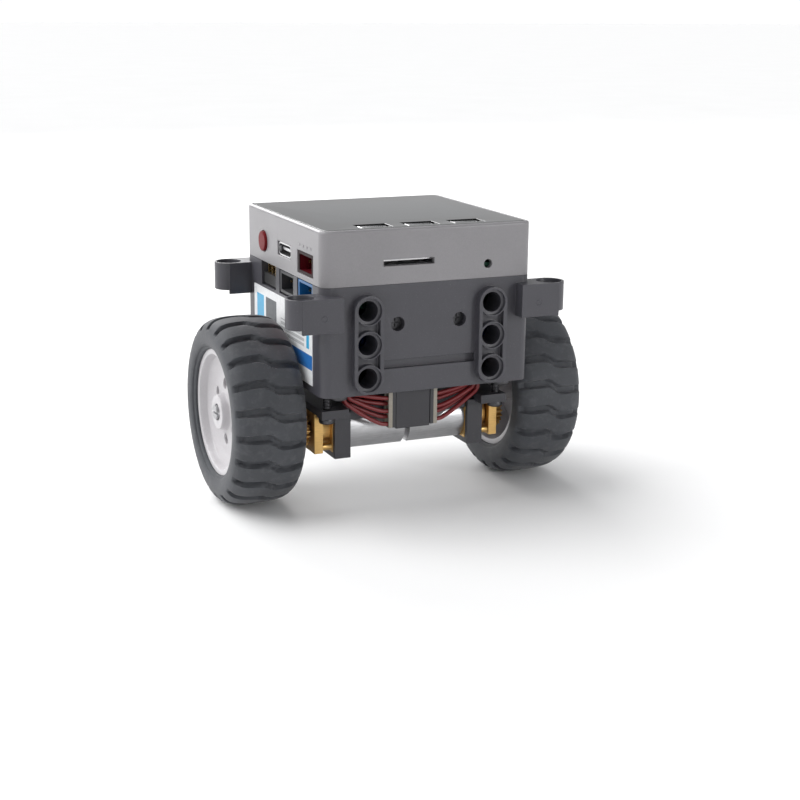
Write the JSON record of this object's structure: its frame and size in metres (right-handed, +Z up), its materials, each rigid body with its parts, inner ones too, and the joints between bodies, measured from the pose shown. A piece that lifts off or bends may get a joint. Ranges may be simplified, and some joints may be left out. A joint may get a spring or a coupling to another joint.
{
  "type": "two wheel robot car",
  "caption": "Square robot controller with a glass screen on a geared two wheel drive base, with brick-pitch holes and lugs.",
  "frame": {"origin": "on the ground under the centre, midway between the wheels", "axes": "+X from the left wheel to the right wheel along the axles, +Y towards the back, +Z up"},
  "size_m": [0.092, 0.061, 0.0702],
  "materials": {
    "core_shell": "satin",
    "screen_glass": "gloss",
    "keys": "satin",
    "circuit_board": "satin",
    "screen_module": "satin",
    "switches": "matte",
    "socket_metal": "satin",
    "black_plastic": "matte",
    "red_plastic": "matte",
    "blue_plastic": "matte",
    "base_shell": "matte",
    "battery_sleeve": "satin",
    "gold_pins": "polished",
    "label": "satin",
    "screws": "satin",
    "brass_parts": "satin",
    "motor_steel": "satin",
    "white_gear": "satin",
    "white_plastic": "matte",
    "red_leads": "satin",
    "tyre": "matte",
    "rim": "satin"
  },
  "bodies": {
    "base": {"core_case": "core_shell", "screen_glass": "screen_glass", "main_board": "circuit_board", "screen_module": "screen_module", "key_board": "circuit_board", "key_switches": "switches", "power_switch": "switches", "usb_socket": "socket_metal", "card_socket": "socket_metal", "unit_link_header": "black_plastic", "core_port_socket": "red_plastic", "base_case": "base_shell", "base_cover": "base_shell", "driver_board": "circuit_board", "battery_pack": "battery_sleeve", "servo_header": "black_plastic", "servo_pins": "gold_pins", "side_label": "label", "blue_port_socket": "blue_plastic", "black_port_socket": "black_plastic", "socket_pins": "gold_pins", "stack_screws": "screws", "front_screws": "screws", "drive_screws": "screws", "drive_frame": "base_shell", "axle_bushes": "brass_parts", "motor_can_left": "motor_steel", "gearbox_left": "brass_parts", "motor_strap_left": "base_shell", "motor_plug_left": "white_plastic", "motor_leads_left": "red_leads", "motor_can_right": "motor_steel", "gearbox_right": "brass_parts", "motor_strap_right": "base_shell", "motor_plug_right": "white_plastic", "motor_leads_right": "red_leads"},
    "left_wheel": {"tyre_left": "tyre", "rim_left": "rim", "axle_left": "motor_steel", "wheel_gear_left": "white_gear", "hub_screw_left": "screws", "axle_clip_left": "screws"},
    "left_pinion": {"motor_shaft_left": "motor_steel", "pinion_left": "brass_parts"},
    "right_wheel": {"tyre_right": "tyre", "rim_right": "rim", "axle_right": "motor_steel", "wheel_gear_right": "white_gear", "hub_screw_right": "screws", "axle_clip_right": "screws"},
    "right_pinion": {"motor_shaft_right": "motor_steel", "pinion_right": "brass_parts"},
    "left_key": {"key_left": "keys"},
    "middle_key": {"key_middle": "keys"},
    "right_key": {"key_right": "keys"},
    "power_button": {"power_key": "keys"}
  },
  "joints": [
    {"name": "left_wheel_spin", "type": "hinge", "parent": "base", "child": "left_wheel", "pos_m": [0, 0, 0.0232], "axis": [1, 0, 0], "continuous": true},
    {"name": "left_motor_spin", "type": "hinge", "parent": "base", "child": "left_pinion", "pos_m": [0, -0.00951, 0.0195], "axis": [1, 0, 0], "continuous": true},
    {"name": "right_wheel_spin", "type": "hinge", "parent": "base", "child": "right_wheel", "pos_m": [0, 0, 0.0232], "axis": [1, 0, 0], "continuous": true},
    {"name": "right_motor_spin", "type": "hinge", "parent": "base", "child": "right_pinion", "pos_m": [0, -0.00951, 0.0195], "axis": [1, 0, 0], "continuous": true},
    {"name": "left_key_press", "type": "slide", "parent": "base", "child": "left_key", "axis": [0, 0, -1], "range_m": [0, 0.0005], "stiffness_N_per_m": 60, "springref_m": -0.0005},
    {"name": "middle_key_press", "type": "slide", "parent": "base", "child": "middle_key", "axis": [0, 0, -1], "range_m": [0, 0.0005], "stiffness_N_per_m": 60, "springref_m": -0.0005},
    {"name": "right_key_press", "type": "slide", "parent": "base", "child": "right_key", "axis": [0, 0, -1], "range_m": [0, 0.0005], "stiffness_N_per_m": 60, "springref_m": -0.0005},
    {"name": "power_button_press", "type": "slide", "parent": "base", "child": "power_button", "axis": [1, 0, 0], "range_m": [0, 0.0006], "stiffness_N_per_m": 60, "springref_m": -0.0005}
  ],
  "couplings": [
    {"joint": "left_motor_spin", "follows": "left_wheel_spin", "ratio": -1.55},
    {"joint": "right_motor_spin", "follows": "right_wheel_spin", "ratio": -1.55}
  ]
}
